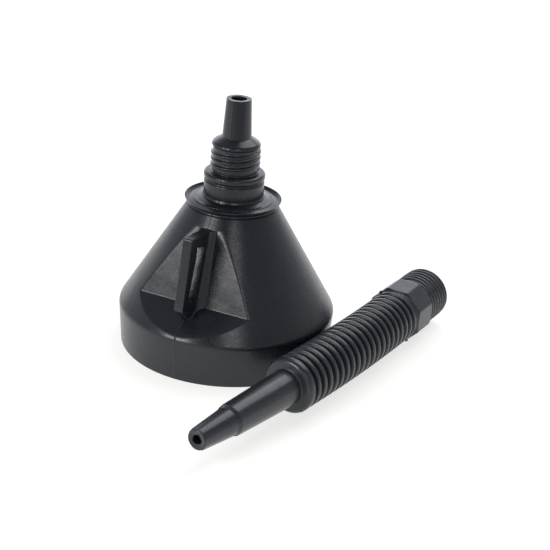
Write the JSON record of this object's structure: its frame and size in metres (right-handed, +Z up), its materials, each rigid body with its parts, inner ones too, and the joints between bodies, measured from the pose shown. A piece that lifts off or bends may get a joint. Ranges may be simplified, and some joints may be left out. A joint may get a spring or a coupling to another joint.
{
  "type": "funnel",
  "caption": "Wide plastic funnel with recessed handle web and threaded neck, beside its screw-on flexible bellows spout.",
  "frame": {"origin": "centre of the open mouth, on the surface that the bowl stands on", "axes": "+Z up the bowl axis towards the rigid spout; -Y is the side with the recess and handle web; the flexible spout lies along +Y on the +X side"},
  "size_m": [0.2018, 0.2829, 0.178],
  "materials": {
    "bowl_plastic": "satin black blow-moulded polyethylene",
    "spout_plastic": "satin black flexible polyethylene"
  },
  "bodies": {
    "funnel_bowl": {"bowl": "bowl_plastic", "handle_web": "bowl_plastic", "collar": "bowl_plastic", "threaded_neck": "bowl_plastic", "rigid_spout": "bowl_plastic"},
    "spout_grip": {"octagon_grip": "spout_plastic", "screw_socket": "spout_plastic"},
    "ring_19": {"bellows_ring_19": "spout_plastic"},
    "ring_18": {"bellows_ring_18": "spout_plastic"},
    "ring_17": {"bellows_ring_17": "spout_plastic"},
    "ring_16": {"bellows_ring_16": "spout_plastic"},
    "ring_15": {"bellows_ring_15": "spout_plastic"},
    "ring_14": {"bellows_ring_14": "spout_plastic"},
    "ring_13": {"bellows_ring_13": "spout_plastic"},
    "ring_12": {"bellows_ring_12": "spout_plastic"},
    "ring_11": {"bellows_ring_11": "spout_plastic"},
    "ring_10": {"bellows_ring_10": "spout_plastic"},
    "ring_09": {"bellows_ring_09": "spout_plastic"},
    "ring_08": {"bellows_ring_08": "spout_plastic"},
    "ring_07": {"bellows_ring_07": "spout_plastic"},
    "ring_06": {"bellows_ring_06": "spout_plastic"},
    "ring_05": {"bellows_ring_05": "spout_plastic"},
    "ring_04": {"bellows_ring_04": "spout_plastic"},
    "ring_03": {"bellows_ring_03": "spout_plastic"},
    "ring_02": {"bellows_ring_02": "spout_plastic"},
    "ring_01": {"bellows_ring_01": "spout_plastic"},
    "spout_nozzle": {"nozzle_cap": "spout_plastic", "nozzle_body": "spout_plastic", "nozzle_tip": "spout_plastic"}
  },
  "joints": [
    {"name": "spout_lift", "type": "slide", "parent": "funnel_bowl", "child": "spout_grip", "axis": [0, 0, 1], "range_m": [0, 0.2]},
    {"name": "bend_up_01", "type": "hinge", "parent": "spout_grip", "child": "ring_19", "pos_m": [0.10215, 0.05826, 0.01955], "axis": [-0.996, 0.0891, 0], "range_deg": [0, 6]},
    {"name": "bend_side_01", "type": "hinge", "parent": "ring_19", "child": "ring_18", "pos_m": [0.10153, 0.05161, 0.01955], "axis": [0, 0, 1], "range_deg": [0, 6]},
    {"name": "bend_up_02", "type": "hinge", "parent": "ring_18", "child": "ring_17", "pos_m": [0.10089, 0.04498, 0.01955], "axis": [-0.995, 0.0997, 0], "range_deg": [0, 6]},
    {"name": "bend_side_02", "type": "hinge", "parent": "ring_17", "child": "ring_16", "pos_m": [0.1002, 0.03834, 0.01955], "axis": [0, 0, 1], "range_deg": [0, 6]},
    {"name": "bend_up_03", "type": "hinge", "parent": "ring_16", "child": "ring_15", "pos_m": [0.09949, 0.03171, 0.01955], "axis": [-0.9939, 0.1103, 0], "range_deg": [0, 6]},
    {"name": "bend_side_03", "type": "hinge", "parent": "ring_15", "child": "ring_14", "pos_m": [0.09873, 0.02508, 0.01955], "axis": [0, 0, 1], "range_deg": [0, 6]},
    {"name": "bend_up_04", "type": "hinge", "parent": "ring_14", "child": "ring_13", "pos_m": [0.09794, 0.01846, 0.01955], "axis": [-0.9927, 0.1209, 0], "range_deg": [0, 6]},
    {"name": "bend_side_04", "type": "hinge", "parent": "ring_13", "child": "ring_12", "pos_m": [0.09712, 0.01184, 0.01955], "axis": [0, 0, 1], "range_deg": [0, 6]},
    {"name": "bend_up_05", "type": "hinge", "parent": "ring_12", "child": "ring_11", "pos_m": [0.09626, 0.00523, 0.01955], "axis": [-0.9913, 0.1314, 0], "range_deg": [0, 6]},
    {"name": "bend_side_05", "type": "hinge", "parent": "ring_11", "child": "ring_10", "pos_m": [0.09537, -0.00138, 0.01955], "axis": [0, 0, 1], "range_deg": [0, 6]},
    {"name": "bend_up_06", "type": "hinge", "parent": "ring_10", "child": "ring_09", "pos_m": [0.09444, -0.00799, 0.01955], "axis": [-0.9899, 0.142, 0], "range_deg": [0, 6]},
    {"name": "bend_side_06", "type": "hinge", "parent": "ring_09", "child": "ring_08", "pos_m": [0.09347, -0.01459, 0.01955], "axis": [0, 0, 1], "range_deg": [0, 6]},
    {"name": "bend_up_07", "type": "hinge", "parent": "ring_08", "child": "ring_07", "pos_m": [0.09247, -0.02118, 0.01955], "axis": [-0.9883, 0.1525, 0], "range_deg": [0, 6]},
    {"name": "bend_side_07", "type": "hinge", "parent": "ring_07", "child": "ring_06", "pos_m": [0.09144, -0.02777, 0.01955], "axis": [0, 0, 1], "range_deg": [0, 6]},
    {"name": "bend_up_08", "type": "hinge", "parent": "ring_06", "child": "ring_05", "pos_m": [0.09037, -0.03436, 0.01955], "axis": [-0.9866, 0.163, 0], "range_deg": [0, 6]},
    {"name": "bend_side_08", "type": "hinge", "parent": "ring_05", "child": "ring_04", "pos_m": [0.08926, -0.04093, 0.01955], "axis": [0, 0, 1], "range_deg": [0, 6]},
    {"name": "bend_up_09", "type": "hinge", "parent": "ring_04", "child": "ring_03", "pos_m": [0.08812, -0.04751, 0.01955], "axis": [-0.9848, 0.1735, 0], "range_deg": [0, 6]},
    {"name": "bend_side_09", "type": "hinge", "parent": "ring_03", "child": "ring_02", "pos_m": [0.08695, -0.05407, 0.01955], "axis": [0, 0, 1], "range_deg": [0, 6]},
    {"name": "bend_up_10", "type": "hinge", "parent": "ring_02", "child": "ring_01", "pos_m": [0.08574, -0.06063, 0.01955], "axis": [-0.9829, 0.184, 0], "range_deg": [0, 6]},
    {"name": "bend_side_10", "type": "hinge", "parent": "ring_01", "child": "spout_nozzle", "pos_m": [0.0845, -0.06718, 0.01955], "axis": [0, 0, 1], "range_deg": [0, 6]}
  ],
  "couplings": [
    {"joint": "bend_up_02", "follows": "bend_up_01", "ratio": 1},
    {"joint": "bend_up_03", "follows": "bend_up_01", "ratio": 1},
    {"joint": "bend_up_04", "follows": "bend_up_01", "ratio": 1},
    {"joint": "bend_up_05", "follows": "bend_up_01", "ratio": 1},
    {"joint": "bend_up_06", "follows": "bend_up_01", "ratio": 1},
    {"joint": "bend_up_07", "follows": "bend_up_01", "ratio": 1},
    {"joint": "bend_up_08", "follows": "bend_up_01", "ratio": 1},
    {"joint": "bend_up_09", "follows": "bend_up_01", "ratio": 1},
    {"joint": "bend_up_10", "follows": "bend_up_01", "ratio": 1},
    {"joint": "bend_side_02", "follows": "bend_side_01", "ratio": 1},
    {"joint": "bend_side_03", "follows": "bend_side_01", "ratio": 1},
    {"joint": "bend_side_04", "follows": "bend_side_01", "ratio": 1},
    {"joint": "bend_side_05", "follows": "bend_side_01", "ratio": 1},
    {"joint": "bend_side_06", "follows": "bend_side_01", "ratio": 1},
    {"joint": "bend_side_07", "follows": "bend_side_01", "ratio": 1},
    {"joint": "bend_side_08", "follows": "bend_side_01", "ratio": 1},
    {"joint": "bend_side_09", "follows": "bend_side_01", "ratio": 1},
    {"joint": "bend_side_10", "follows": "bend_side_01", "ratio": 1}
  ]
}
